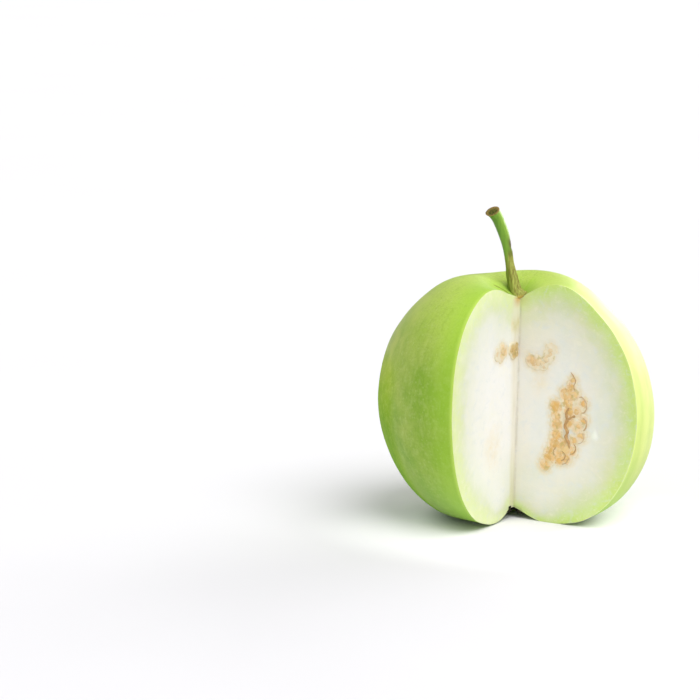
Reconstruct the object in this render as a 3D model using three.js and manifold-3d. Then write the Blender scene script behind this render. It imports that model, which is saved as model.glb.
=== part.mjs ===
// A guava of the large pale green sort, standing on its blossom end with its stalk up.
// One quarter of the fruit is cut away, so two flat faces of white flesh meet at the core.
// Seeds sit in shallow pockets of the cut faces, and the dry calyx sits in the pit underneath.
// Units are millimetres. +Z is up, and the two cut faces look along +X and -Y.
import * as THREE from "three";
import { mergeVertices } from "three/addons/utils/BufferGeometryUtils.js";
import Module from "manifold-3d";

const wasm = await Module();
wasm.setup();

// Where the middle of the fruit stands, and how far the fruit leans to one side
const MIDDLE = new THREE.Vector3(1.0, 0.2, 39.5);
const LEAN = 1.2;
const VIEW_AZIMUTH = 28;

// Half outline of the fruit from the stem pit to the blossom pit: distance from the axis, height over the middle
const PROFILE = [
  [0, 34.6], [4.0, 37.0], [8.2, 38.7], [13.6, 39.6], [20.1, 37.8], [27.6, 32.9], [35.3, 25.6], [41.1, 15.0],
  [43.6, 0], [41.5, -15.1], [35.8, -28.0], [27.5, -36.5], [18.6, -39.9], [10.8, -40.4], [4.9, -38.6], [2.7, -36.8],
  [0, -36.0],
];
const STEPS_PER_POINT = 3;
const TURN_STEPS = 60;

// Soft lobes and hollows of the skin: azimuth, angle down from the top, spread, and swell
const LOBES = [
  [270, 14, 14, -4.4], [0, 22, 18, 1.0], [60, 24, 20, 0.5], [110, 26, 20, 4.2], [160, 28, 22, -3.7],
  [215, 26, 20, 4.8], [268, 42, 22, 3.6], [25, 75, 28, 0.2], [40, 115, 26, 4.2], [0, 125, 24, -0.7],
  [100, 100, 40, -1.5], [180, 70, 30, 3.4], [220, 100, 26, 1.3], [240, 138, 20, -1.1], [270, 105, 24, -1.2],
  [270, 150, 18, -1.4], [225, 158, 18, 0.7], [10, 155, 18, -1.2],
];

// The cut: where the left face lies beside the axis, and how far the narrow core strip reaches
// over the left face and past the axis on the right one, at its top and bottom
const CUT_REACH = 70;
const LEFT_FACE_X = -0.4;
const STRIP_TOP = [5.2, 0.2];
const STRIP_BOTTOM = [2.4, 0.1];
const STRIP_HALF_HEIGHT = 36;

// Space between pieces that touch
const GAP = 0.3;

// Seeds and the pulp around them
const PULP_MARGIN = 0.9;
const PULP_DEPTH = 1.8;
const PULP_SINK = 0.25;
const PULP_SIDES = 8;
const SEED_SIDES = 7;
const SEED_BANDS = 5;
const SEED_SINK = 0.5;

// Places of the seeds on each face: distance from the core, height over the middle, and half length
const MAIN_SEEDS = [
  [20.6, 10.2, 1.2], [20.2, 7.6, 1.4], [18.2, 5.0, 1.9], [21.1, 4.9, 1.8], [14.7, 0.4, 1.9], [19.1, 1.8, 1.6],
  [24.6, 2.6, 1.4], [19.9, -0.8, 1.7], [22.5, -0.5, 1.7], [14.8, -2.6, 1.5], [24.9, -2.9, 1.3], [15.3, -5.8, 1.8],
  [20.0, -4.3, 1.7], [22.9, -5.6, 1.7], [15.4, -9.0, 1.8], [24.2, -8.3, 1.4], [14.8, -12.0, 1.9], [17.8, -11.7, 1.5],
  [21.7, -10.2, 1.3], [13.4, -14.9, 1.7], [16.4, -14.4, 1.6], [18.9, -13.6, 1.6], [21.2, -13.8, 1.5],
  [12.9, -17.4, 1.9], [11.4, -19.6, 1.7], [16.6, -17.2, 1.6], [19.2, -16.6, 1.4],
];
const UPPER_SEEDS = [
  [4.9, 14.9, 1.4], [6.9, 14.3, 1.8], [9.3, 13.9, 1.3], [10.6, 15.7, 1.2], [11.4, 17.1, 1.5], [12.1, 19.2, 1.4],
];
const LEFT_SEEDS = [[8.7, 18.3, 1.3], [10.7, 19.6, 1.4], [11.3, 17.2, 1.5], [13.5, 18.0, 1.5]];
const CORE_SEEDS = [[3.6, 18.6, 1.1], [2.4, 16.8, 1.1], [1.7, 19.0, 1.0]];
const CORE_RISE = 0.3;

// The stalk: distance to the right of the axis as seen from the front, height over the middle, and radius
const STALK = [
  [-0.7, 31.8, 1.1], [-1.0, 34.8, 2.5], [-2.0, 38.1, 2.0], [-3.0, 42.5, 1.75], [-3.9, 46.9, 1.4], [-4.9, 52.0, 1.5],
  [-6.1, 56.1, 1.75], [-8.0, 60.6, 1.85], [-9.8, 64.6, 2.2],
];
const STALK_BACK = 1.5;
const STALK_SIDES = 14;
const STALK_STEPS = 20;
const STALK_CUT_SLANT = 0.55;
const STALK_CUT_REACH = 0.12;
const SOCKET_STATIONS = 5;
const SOCKET_STEPS = 14;

// The dry calyx: five ragged lobes round the blossom end
const CALYX = { inner: 1.3, outer: 3.0, top: -35.3, bottom: -37.4, lobes: 5, flare: 0.35, droop: 0.7, steps: 30 };

const degrees = THREE.MathUtils.degToRad;

// Directions as seen from the front of the fruit, where the cut shows
const toRight = new THREE.Vector3(Math.cos(degrees(VIEW_AZIMUTH)), Math.sin(degrees(VIEW_AZIMUTH)), 0);
const toBack = new THREE.Vector3(-Math.sin(degrees(VIEW_AZIMUTH)), Math.cos(degrees(VIEW_AZIMUTH)), 0);

// Takes a shape from the fruit's own frame, with its middle at zero, to where the fruit stands.
const standing = new THREE.Matrix4()
  .makeTranslation(MIDDLE)
  .multiply(new THREE.Matrix4().makeRotationAxis(toBack.clone().negate(), degrees(-LEAN)));

// Repeatable random numbers from 0 to 1
function randomFrom(start) {
  let state = start;
  return () => {
    state = (state * 1664525 + 1013904223) % 4294967296;
    return state / 4294967296;
  };
}

function solid(geometry) {
  const bare = new THREE.BufferGeometry();
  bare.setAttribute("position", geometry.getAttribute("position"));
  if (geometry.index) bare.setIndex(geometry.index);
  const merged = mergeVertices(bare, 1e-4);
  return new wasm.Manifold(
    new wasm.Mesh({
      numProp: 3,
      vertProperties: new Float32Array(merged.attributes.position.array),
      triVerts: new Uint32Array(merged.index.array),
    }),
  );
}

function geometryOf(made) {
  const mesh = made.getMesh();
  const geometry = new THREE.BufferGeometry();
  geometry.setAttribute("position", new THREE.BufferAttribute(mesh.vertProperties, 3));
  geometry.setIndex(new THREE.BufferAttribute(mesh.triVerts, 1));
  return geometry;
}

function moveVertices(geometry, move) {
  const position = geometry.getAttribute("position");
  const point = new THREE.Vector3();
  for (let i = 0; i < position.count; i += 1) {
    point.fromBufferAttribute(position, i);
    move(point);
    position.setXYZ(i, point.x, point.y, point.z);
  }
  return geometry;
}

function joined(solids) {
  return solids.reduce((all, one) => all.add(one));
}

// A body of revolution about Z
function turned(outline, steps) {
  const points = outline.map(([radius, height]) => new THREE.Vector2(radius, height));
  return new THREE.LatheGeometry(points, steps).rotateX(Math.PI / 2);
}

function direction(azimuth, fromTop) {
  const [turn, tilt] = [degrees(azimuth), degrees(fromTop)];
  return new THREE.Vector3(Math.sin(tilt) * Math.cos(turn), Math.sin(tilt) * Math.sin(turn), Math.cos(tilt));
}

const lobes = LOBES.map(([azimuth, fromTop, spread, swell]) => {
  return { towards: direction(azimuth, fromTop), spread: degrees(spread), swell };
});

// Pushes a point of the plain turned shape out or in along its own direction, as the lobes say.
function swell(point) {
  const along = point.clone().normalize();
  let push = 0;
  for (const lobe of lobes) {
    const angle = along.angleTo(lobe.towards);
    push += lobe.swell * Math.exp(-(angle * angle) / (2 * lobe.spread * lobe.spread));
  }
  point.addScaledVector(along, push);
}

function wholeFruit() {
  const curve = new THREE.SplineCurve(PROFILE.map(([radius, height]) => new THREE.Vector2(radius, height)));
  const outline = curve.getPoints((PROFILE.length - 1) * STEPS_PER_POINT).map((p) => [Math.max(p.x, 0), p.y]);
  outline[0][0] = 0;
  outline[outline.length - 1][0] = 0;
  return solid(moveVertices(turned(outline.reverse(), TURN_STEPS), swell));
}

// How far the core strip reaches over one face at some height
function stripAt(height, side) {
  const middle = (STRIP_TOP[side] + STRIP_BOTTOM[side]) / 2;
  return middle + ((STRIP_TOP[side] - STRIP_BOTTOM[side]) * height) / (2 * STRIP_HALF_HEIGHT);
}

// The quarter that is cut away. Its inner edge is a narrow slanted strip along the core.
function missingQuarter() {
  const shape = new THREE.Shape();
  shape.moveTo(LEFT_FACE_X, -1);
  shape.lineTo(LEFT_FACE_X, -CUT_REACH);
  shape.lineTo(CUT_REACH, -CUT_REACH);
  shape.lineTo(CUT_REACH, 0);
  shape.lineTo(1, 0);
  const block = new THREE.ExtrudeGeometry(shape, { depth: 2 * CUT_REACH, bevelEnabled: false });
  block.translate(0, 0, -CUT_REACH);
  moveVertices(block, (point) => {
    if (point.y === -1) point.y = -stripAt(point.z, 0);
    if (point.x === 1) point.x = stripAt(point.z, 1);
  });
  return solid(block);
}

// Puts a shape drawn flat, with its height out of the page, on a cut face.
const onRightFace = new THREE.Matrix4().makeBasis(
  new THREE.Vector3(1, 0, 0),
  new THREE.Vector3(0, 0, 1),
  new THREE.Vector3(0, -1, 0),
);
const onLeftFace = new THREE.Matrix4().makeBasis(
  new THREE.Vector3(0, 1, 0),
  new THREE.Vector3(0, 0, 1),
  new THREE.Vector3(1, 0, 0),
).setPosition(LEFT_FACE_X, 0, 0);

function disc(x, y, radius, low, high) {
  const geometry = new THREE.CylinderGeometry(radius, radius, high - low, PULP_SIDES);
  return geometry.rotateX(Math.PI / 2).translate(x, y, (low + high) / 2);
}

function seed(x, y, half, random) {
  const geometry = new THREE.SphereGeometry(1, SEED_SIDES, SEED_BANDS);
  const phase = random() * Math.PI * 2;
  moveVertices(geometry, (point) => {
    const bump = 1 + 0.08 * Math.sin(3 * point.x + phase) * Math.cos(4 * point.y - phase);
    point.multiplyScalar(bump);
    point.multiply(new THREE.Vector3(half, half * 0.78, half * 0.6));
  });
  geometry.rotateZ(random() * Math.PI);
  geometry.rotateX((random() - 0.5) * 0.5);
  return geometry.translate(x, y, -SEED_SINK + (random() - 0.5) * 0.3);
}

// A cluster of seeds in its bed of pulp, and the pocket for it in the flesh
function cluster(places, face, mirrored, rise, start) {
  const random = randomFrom(start);
  const settled = new THREE.Matrix4().multiplyMatrices(standing, face);
  const side = mirrored ? -1 : 1;
  const pieces = [];
  const pockets = [];
  for (const [distance, height, half] of places) {
    const x = side * distance;
    const radius = half + PULP_MARGIN;
    const bed = disc(x, height, radius, rise - PULP_DEPTH, rise - PULP_SINK);
    const pocket = disc(x, height, radius + GAP, rise - PULP_DEPTH - GAP, rise + 3);
    const grain = seed(x, height, half, random).translate(0, 0, rise);
    pieces.push(solid(bed.applyMatrix4(settled)), solid(grain.applyMatrix4(settled)));
    pockets.push(solid(pocket.applyMatrix4(settled)));
  }
  return { body: joined(pieces), pocket: joined(pockets) };
}

// A round rod bent along the stalk's line. extra grows it on every side, and slant lowers the front of its
// top end, as a slanting knife cut does, over the last part of its length.
function stalkSolid(stations, steps, extra, slant) {
  const line = new THREE.CatmullRomCurve3(
    stations.map(([right, height]) => {
      return toRight.clone().multiplyScalar(right).addScaledVector(toBack, STALK_BACK).setZ(height);
    }),
    false,
    "centripetal",
  );
  const radii = new THREE.SplineCurve(stations.map(([, , radius], i) => new THREE.Vector2(i, radius)));
  const rod = new THREE.CylinderGeometry(1, 1, 1, STALK_SIDES, steps);
  moveVertices(rod, (point) => {
    const along = THREE.MathUtils.clamp(point.y + 0.5, 0, 1);
    const centre = line.getPoint(along);
    const tangent = line.getTangent(along);
    const radius = radii.getPoint(along).y + extra;
    const across = new THREE.Vector3().crossVectors(toBack, tangent).normalize();
    const [u, v] = [point.x * radius, point.z * radius];
    const nearTop = Math.max(1 - (1 - along) / STALK_CUT_REACH, 0);
    const ends = along === 0 ? -extra : -slant * nearTop * (radius - v);
    point.copy(centre).addScaledVector(across, -u).addScaledVector(toBack, v).addScaledVector(tangent, ends);
  });
  return solid(rod.applyMatrix4(standing));
}

// The calyx ring with its ragged lobes. extra grows it on every side.
function calyxSolid(extra) {
  const { inner, outer, top, bottom, lobes: count, flare, droop, steps } = CALYX;
  const outline = [
    [inner - extra, bottom - extra],
    [outer + extra, bottom - extra],
    [outer + extra, (top + bottom) / 2],
    [outer * 0.8 + extra, top + extra],
    [inner - extra, top + extra],
    [inner - extra, bottom - extra],
  ];
  const ring = turned(outline, steps);
  moveVertices(ring, (point) => {
    const azimuth = Math.atan2(point.y, point.x);
    const low = (top - point.z) / (top - bottom);
    const wave = Math.cos(count * azimuth) + 0.3 * Math.sin(3 * azimuth + 1);
    const grow = 1 + (flare * wave * Math.max(low, 0)) / outer;
    point.x *= grow;
    point.y *= grow;
    point.z -= droop * Math.max(wave, -0.4) * Math.max(low, 0) * 0.6;
  });
  return solid(ring.applyMatrix4(standing));
}

function floorBlock() {
  return solid(new THREE.BoxGeometry(200, 200, 50).translate(0, 0, -25));
}

function standingSolid(made) {
  return solid(geometryOf(made).applyMatrix4(standing));
}

const skin = new THREE.MeshStandardMaterial({ color: 0xa2c25b, roughness: 0.45, metalness: 0 });
const seedColour = new THREE.MeshStandardMaterial({ color: 0xddb679, roughness: 0.5, metalness: 0 });
const stalkColour = new THREE.MeshStandardMaterial({ color: 0x7fa53f, roughness: 0.55, metalness: 0 });
const calyxColour = new THREE.MeshStandardMaterial({ color: 0x4a3a22, roughness: 0.9, metalness: 0 });

const quarter = standingSolid(missingQuarter());
const mainSeeds = cluster(MAIN_SEEDS, onRightFace, false, 0, 11);
const upperSeeds = cluster(UPPER_SEEDS, onRightFace, false, 0, 23);
const leftSeeds = cluster(LEFT_SEEDS, onLeftFace, true, 0, 37);
const coreSeeds = cluster(CORE_SEEDS, onLeftFace, true, CORE_RISE, 41);

const stalk = stalkSolid(STALK, STALK_STEPS, 0, STALK_CUT_SLANT);
const socket = stalkSolid(STALK.slice(0, SOCKET_STATIONS), SOCKET_STEPS, GAP, 0);
const calyx = calyxSolid(0).subtract(quarter);

const fruit = standingSolid(wholeFruit())
  .subtract(quarter)
  .subtract(joined([mainSeeds.pocket, upperSeeds.pocket, leftSeeds.pocket, coreSeeds.pocket]))
  .subtract(socket)
  .subtract(calyxSolid(GAP))
  .subtract(floorBlock());

const guava = new THREE.Group();
const pieces = [
  ["fruit", fruit, skin],
  ["stalk", stalk, stalkColour],
  ["calyx", calyx, calyxColour],
  ["seeds_main", mainSeeds.body, seedColour],
  ["seeds_upper", upperSeeds.body, seedColour],
  ["seeds_left", leftSeeds.body, seedColour],
  ["seeds_core", coreSeeds.body, seedColour],
];
for (const [name, made, material] of pieces) {
  const mesh = new THREE.Mesh(geometryOf(made), material);
  mesh.name = name;
  guava.add(mesh);
}

export default guava;
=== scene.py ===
import math
import random

import bmesh
import bpy
import numpy as np
from mathutils import Matrix, Vector, noise


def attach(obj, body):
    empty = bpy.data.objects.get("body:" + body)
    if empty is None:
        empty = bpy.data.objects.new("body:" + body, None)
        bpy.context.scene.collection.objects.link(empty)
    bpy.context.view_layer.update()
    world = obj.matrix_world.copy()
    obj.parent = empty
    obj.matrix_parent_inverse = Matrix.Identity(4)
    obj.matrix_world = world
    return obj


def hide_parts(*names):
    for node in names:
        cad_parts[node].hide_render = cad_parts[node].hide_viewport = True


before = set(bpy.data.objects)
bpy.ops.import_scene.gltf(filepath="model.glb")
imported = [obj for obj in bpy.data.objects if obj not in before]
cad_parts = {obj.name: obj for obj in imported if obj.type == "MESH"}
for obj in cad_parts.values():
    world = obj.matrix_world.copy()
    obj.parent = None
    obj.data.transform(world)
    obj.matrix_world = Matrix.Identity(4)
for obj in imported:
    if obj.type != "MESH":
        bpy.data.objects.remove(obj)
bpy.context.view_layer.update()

# Lengths are in millimetres and angles in degrees, unless said otherwise
MM = 0.001

# The camera: its direction and distance, the picture's scale, and where the fruit's middle falls in it
VIEW_AZIMUTH = 28.0
VIEW_ELEVATION = 11.83
VIEW_DISTANCE = 900.0
PIXELS_PER_MM = 3.0
MIDDLE_PIXEL = (516.7, 402.0)
FRAME_PIXELS = 700
SENSOR_MM = 36.0
CLIP_METRES = (0.01, 50)

# The fruit's own frame: where its middle stands, and how far it leans to the right of the view
MIDDLE = np.array([1.0, 0.2, 39.5])
LEAN = 1.2

# Half outline from the stem pit to the blossom pit: distance from the axis, height over the middle
PROFILE = [
    (0, 34.6), (4, 37), (8.2, 38.7), (13.6, 39.6), (20.1, 37.8), (27.6, 32.9), (35.3, 25.6), (41.1, 15),
    (43.6, 0), (41.5, -15.1), (35.8, -28), (27.5, -36.5), (18.6, -39.9), (10.8, -40.4), (4.9, -38.6),
    (2.7, -36.8), (0, -36),
]

# Soft lobes and hollows: azimuth, angle down from the top, spread, and swell
LOBES = [
    (270, 14, 14, -4.4), (0, 22, 18, 1), (60, 24, 20, 0.5), (110, 26, 20, 4.2), (160, 28, 22, -3.7),
    (215, 26, 20, 4.8), (268, 42, 22, 3.6), (25, 75, 28, 0.2), (40, 115, 26, 4.2), (0, 125, 24, -0.7),
    (100, 100, 40, -1.5), (180, 70, 30, 3.4), (220, 100, 26, 1.3), (240, 138, 20, -1.1),
    (270, 105, 24, -1.2), (270, 150, 18, -1.4), (225, 158, 18, 0.7), (10, 155, 18, -1.2),
    (266, 13, 8, -1.2),
]

# How far the skin here lies inside the skin of the solid
INSIDE_CAD = 0.06

# The cut: its left face, and how far the core strip reaches along the left and the right face
LEFT_FACE_X = -0.4
LEFT_FACE_TURN = math.radians(270)
STRIP_TOP = (5.2, 0.2)
STRIP_BOTTOM = (2.4, 0.1)
STRIP_HALF_HEIGHT = 36.0
SEAM_MIDDLE = -0.7
SEAM_REACH = 35.3

# A thin crease in the skin by the stalk, as points seen from above. Its dark colour is partly brown skin,
# partly painted shade in the crease
CREASE = [(-6.6, -5.9), (-5, -4.4), (-3.6, -3.5), (-2.3, -3.6), (-1.5, -4.1)]
CREASE_WIDTH = 0.4
CREASE_DEPTH = 0.2
CREASE_LOWEST = 30

# Relief of the cut faces: pockets under the seeds, and a small flake of flesh on the right face
POCKET_DEPTH = 0.9
FLAKE_MIDDLE = (29.2, -7.2)
FLAKE_RISE = 0.25

# Soft stains: middle and reach, across and up on the faces, and up on the strip
STAIN_LEFT = ((15, -13), (5, 7))
STAIN_RIGHT = ((8, 8), (3, 3.5))
STAIN_STRIP = (26.5, 2.2)

# The fruit's mesh: rings from top to bottom, with columns on the right face, skin, left face and strip
RINGS = 260
RIGHT_COLUMNS = 96
SKIN_COLUMNS = 170
LEFT_COLUMNS = 70
STRIP_COLUMNS = 8
SKIN_START = RIGHT_COLUMNS
SKIN_END = SKIN_START + SKIN_COLUMNS
STRIP_START = SKIN_END + LEFT_COLUMNS
WIDE = STRIP_START + STRIP_COLUMNS

# Which part of the fruit each point of the mesh is on
column = np.tile(np.arange(WIDE), RINGS)
ON_RIGHT = column < SKIN_START
ON_SKIN = (column >= SKIN_START) & (column <= SKIN_END)
ON_LEFT = (column > SKIN_END) & (column < STRIP_START)
ON_STRIP = column >= STRIP_START
LEFT_AND_STRIP = ON_LEFT | ON_STRIP

# What a distance reads where it doesn't count
NOT_HERE = 99
NO_CUT_NEAR = 100

# The radius that turns azimuths into millimetres of skin, and the depth at which the flesh is whitest
SKIN_RADIUS = 42.0
FLESH_DEPTH = 24.0

# Seeds on each face: distance from the core, height over the middle, and half length
MAIN_SEEDS = [
    (20.7, 9.8, 0.8), (20.2, 7.6, 1.4), (18.2, 5, 1.9), (21.1, 4.9, 1.8), (14.7, 0.4, 1.9),
    (19.1, 1.8, 1.6), (24.6, 2.6, 1.4), (19.9, -0.8, 1.7), (22.5, -0.5, 1.7), (14.8, -2.6, 1.5),
    (24.9, -2.9, 1.3), (15.3, -5.8, 1.8), (20, -4.3, 1.7), (22.9, -5.6, 1.7), (15.4, -9, 1.8),
    (24.2, -8.3, 1.4), (14.8, -12, 1.9), (17.8, -11.7, 1.5), (21.7, -10.2, 1.3), (13.4, -14.9, 1.7),
    (16.4, -14.4, 1.6), (18.9, -13.6, 1.6), (21.2, -13.8, 1.5), (12.9, -17.4, 1.9), (11.4, -19.6, 1.7),
    (16.6, -17.2, 1.6), (19.2, -16.6, 1.4),
]
UPPER_SEEDS = [
    (4.9, 14.9, 1.4), (6.9, 14.3, 1.8), (9.3, 13.9, 1.3), (10.6, 15.7, 1.2), (11.4, 17.1, 1.5),
    (12.1, 19.2, 1.4),
]
LEFT_SEEDS = [(8.7, 18.3, 1.3), (10.7, 19.6, 1.4), (11.3, 17.2, 1.5), (13.5, 18, 1.5)]
CORE_SEEDS = [(4, 18.4, 1.3), (2.6, 16.8, 1.2), (1.5, 18.6, 1.2), (0.9, 17, 0.9)]
CRUMBS_PER_SEED = 2

# Thin threads among the main seeds: points as distance, height and rise off the face, then radius and tone
MAIN_FIBRES = [
    ([(19.6, 0.6, 0), (18.6, -1.6, 0.1), (19, -3.6, 0), (18.3, -5.6, 0.1), (19.2, -7.6, 0),
      (18.8, -9.4, 0.1), (19.9, -11.4, 0), (20.2, -13.2, 0)], 0.5, 0),
    ([(18.7, -3.6, 0), (19.9, -3, 0.1), (21.2, -2.2, 0), (22, -2.2, -0.1)], 0.4, 0.1),
    ([(19.6, 12.6, 0), (20.8, 11.2, 0), (21.6, 9.6, 0), (21, 8, 0), (21.4, 6.4, 0)], 0.17, 0.35),
    ([(22.6, 4.4, -0.1), (24.2, 4.6, 0), (25.6, 3.2, 0), (25.9, 1.2, 0), (25, -0.4, 0),
      (23.6, -0.6, -0.1)], 0.22, 0.9),
    ([(24.4, -2, 0), (25.9, -3.2, 0), (26, -5.2, 0), (24.9, -6.6, 0)], 0.22, 0.7),
    ([(24.6, -7.4, 0), (25.3, -9, 0), (24.4, -10.6, 0), (22.9, -11, -0.1)], 0.18, 1),
    ([(20.4, -16, 0), (19, -18.2, 0), (17.2, -18.8, -0.1)], 0.18, 0.5),
    ([(15.4, -13.2, 0.1), (14.4, -14.6, 0.1), (14.8, -16.2, 0.1)], 0.17, 0.2),
    ([(17.4, -14.2, 0.1), (18.8, -15.4, 0.1), (18.3, -17, 0.1), (16.8, -17.6, 0)], 0.2, 0),
    ([(21.6, -11.2, 0.1), (22.6, -12.6, 0.1), (21.8, -14.4, 0.1), (20.4, -15, 0)], 0.2, 0.1),
]
THREAD_SIDES = 8
THREAD_RISE = 0.07

# The bed of pulp under the seeds
BED_FINENESS = 0.25
BED_ROOM = 3.2
BED_REACH = 1.4
BED_DEPTH = 1.8
BED_RISE = 0.13

# The clusters: piece, node, seeds, face, its rise, start of the random draws, threads, brownness, and how
# they pale outward: from which distance, the bed's part and the seeds' part
CLUSTERS = [
    ("seeds_large", "seeds_main", MAIN_SEEDS, "right", 0, 11, MAIN_FIBRES, 0, (19.5, 0.45, 0.15)),
    ("seeds_arc", "seeds_upper", UPPER_SEEDS, "right", 0, 23, [], -0.4, (6, 0.5, 0.4)),
    ("seeds_left_face", "seeds_left", LEFT_SEEDS, "left", 0, 37, [], -0.45, (10.5, 0.5, 0.5)),
    ("seeds_on_core", "seeds_core", CORE_SEEDS, "left", 0.3, 41, [], 0.6, (10, 0, 0)),
]
SEED, PULP, THREAD = 0, 1, 2

# The stalk: distance to the right of the axis, height over the middle, and radius
STALK = [
    (-0.8, 33.2, 0.7), (-0.8, 34.6, 1), (-0.9, 35.2, 2.3), (-1.4, 36.6, 2.3), (-2, 38.4, 2),
    (-3, 42.5, 1.75), (-3.9, 46.9, 1.4), (-4.9, 52, 1.5), (-6.1, 56.1, 1.75), (-8, 60.6, 1.85),
    (-9.8, 64.4, 2.2),
]
STALK_RINGS = 220
STALK_AROUND = 56
STALK_CAP_RINGS = 6
STALK_BACK = 1.5
STALK_CUT_SLANT = 0.4
STALK_CUT_LENGTH = 4.2

# Marks along the stalk: height and reach, or one height
STALK_FLARE = (35.6, 1.0)
STALK_KNOT = (49.6, 1.5)
STALK_NOTCH = (51.4, 0.7)
STALK_SCAR = (52.6, 1.9)
ROUGH_FOOT_TOP = 46.5
PEELED_STRIP_TOP = 51.0
PEELED_FOOT_TOP = 48.6
STALK_MARKS = ("peeled", "side", "height_mm", "scar", "knot", "cut_end", "cut_rim")

# The calyx ring, open where the quarter is missing
CALYX_INNER = 1.3
CALYX_OUTER = 3.0
CALYX_TOP = -35.3
CALYX_BOTTOM = -37.4
CALYX_LOBES = 5
CALYX_TURNS = (2, 268)
CALYX_AROUND = 120
CALYX_RINGS = 26

azimuth_turn = math.radians(VIEW_AZIMUTH)
TO_RIGHT = np.array([math.cos(azimuth_turn), math.sin(azimuth_turn), 0.0])
TO_BACK = np.array([-math.sin(azimuth_turn), math.cos(azimuth_turn), 0.0])
UP = np.array([0.0, 0.0, 1.0])

# The white table, in metres, and the ring just in front of the fruit where it lights itself faintly
TABLE_HALF = 6.0
GLOW_STRENGTH = 0.26
GLOW_BEGINS = (0.02, 0.034)
GLOW_FADES = (0.042, 0.075)
GLOW_SIDE = TO_RIGHT * 0.29 - TO_BACK * 0.96
GLOW_SIDE_RANGE = (-0.03, 0.012)

# Soft far lights, as from big studio screens: name, right, back and up, strength, spread, colour
LIGHTS = [
    ("key", (0.36, -0.38, 0.85), 2.27, 50, (1, 1, 0.99)),
    ("kicker", (0.62, 0.76, 0.08), 3.3, 60, (1, 1, 0.99)),
    ("fill", (-0.35, -0.9, 0.25), 0.43, 60, (1, 1, 1)),
]
WORLD_STRENGTH = 0.42
WHITE = (1.0, 1.0, 1.0, 1.0)

# The share of white below which a screen's colours rise evenly
SCREEN_FOOT = 0.0393


def standing(points):
    """Takes points in the fruit's own frame to where the fruit stands, in metres."""
    turn = np.array(Matrix.Rotation(math.radians(-LEAN), 3, Vector(-TO_BACK)))
    return (np.asarray(points, float) @ turn.T + MIDDLE) * MM


def linear(colour):
    """Red, green and blue seen on screen, 0 to 255, as Blender's linear colour. All else stays as it is."""
    if not isinstance(colour, tuple) or len(colour) != 3:
        return colour
    shares = [value / 255 for value in colour]
    return tuple(((c + 0.055) / 1.055) ** 2.4 if c > SCREEN_FOOT else c / 12.92 for c in shares) + (1.0,)


def held(value):
    """The value, held between 0 and 1."""
    return min(1.0, max(0.0, value))


def smooth_step(value, low, high):
    """0 up to low, 1 from high on, and a soft rise between. With low over high it falls instead."""
    part = np.clip((value - low) / (high - low), 0, 1)
    return part * part * (3 - 2 * part)


def bell(value, middle, reach):
    """1 at the middle, falling softly on both sides."""
    return np.exp(-(((value - middle) / reach) ** 2))


def smooth_line(points, steps):
    """A smooth line through the points, as a uniform Catmull-Rom curve with held ends."""
    points = np.array(points, float)
    ends_twice = np.vstack([points[:1], points, points[-1:]])
    out = []
    for i in range(len(points) - 1):
        before, start, end, after = ends_twice[i:i + 4]
        for t in np.arange(steps) / steps:
            leave = (end - before) / 2
            arrive = (after - start) / 2
            cubic = 2 * start - 2 * end + leave + arrive
            square = -3 * start + 3 * end - 2 * leave - arrive
            out.append(cubic * t**3 + square * t**2 + leave * t + start)
    out.append(points[-1])
    return np.array(out)


def evenly(line, count):
    """The line again, as count points at even steps along it."""
    lengths = np.r_[0, np.cumsum(np.linalg.norm(np.diff(line, axis=0), axis=1))]
    wanted = np.linspace(0, lengths[-1], count)
    return np.stack([np.interp(wanted, lengths, line[:, k]) for k in range(line.shape[1])], 1)


def between(start, end, count):
    """count columns of points from start to end, without the end."""
    return [start + (end - start) * (i / count) for i in range(count)]


def tube_faces(rings, around):
    """Faces of an open tube whose points run round each ring in turn."""
    faces = []
    for i in range(rings - 1):
        for j in range(around):
            a, b = i * around + j, i * around + (j + 1) % around
            faces.append((a, b, b + around, a + around))
    return faces


def closed_tube_faces(rings, around):
    last = (rings - 1) * around
    return tube_faces(rings, around) + [tuple(range(last, last + around)), tuple(reversed(range(around)))]


def new_mesh(name, vertices, faces, materials, kinds=None, smooth=True):
    """A mesh object. Where it has several materials, kinds holds each face's one."""
    mesh = bpy.data.meshes.new(name)
    mesh.from_pydata([tuple(v) for v in vertices], [], faces)
    mesh.validate()
    mesh.update()
    if smooth:
        mesh.polygons.foreach_set("use_smooth", [True] * len(mesh.polygons))
    for material in materials:
        mesh.materials.append(material)
    if kinds:
        mesh.polygons.foreach_set("material_index", kinds)
    piece = bpy.data.objects.new(name, mesh)
    bpy.context.scene.collection.objects.link(piece)
    return piece


def paint(piece, name, values):
    """Stores one number for each vertex, which the material reads by name."""
    layer = piece.data.attributes.new(name, "FLOAT", "POINT")
    layer.data.foreach_set("value", np.asarray(values, np.float32))


def fix_facing(piece):
    """Turns every face outward."""
    work = bmesh.new()
    work.from_mesh(piece.data)
    bmesh.ops.recalc_face_normals(work, faces=work.faces)
    work.to_mesh(piece.data)
    work.free()


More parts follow.
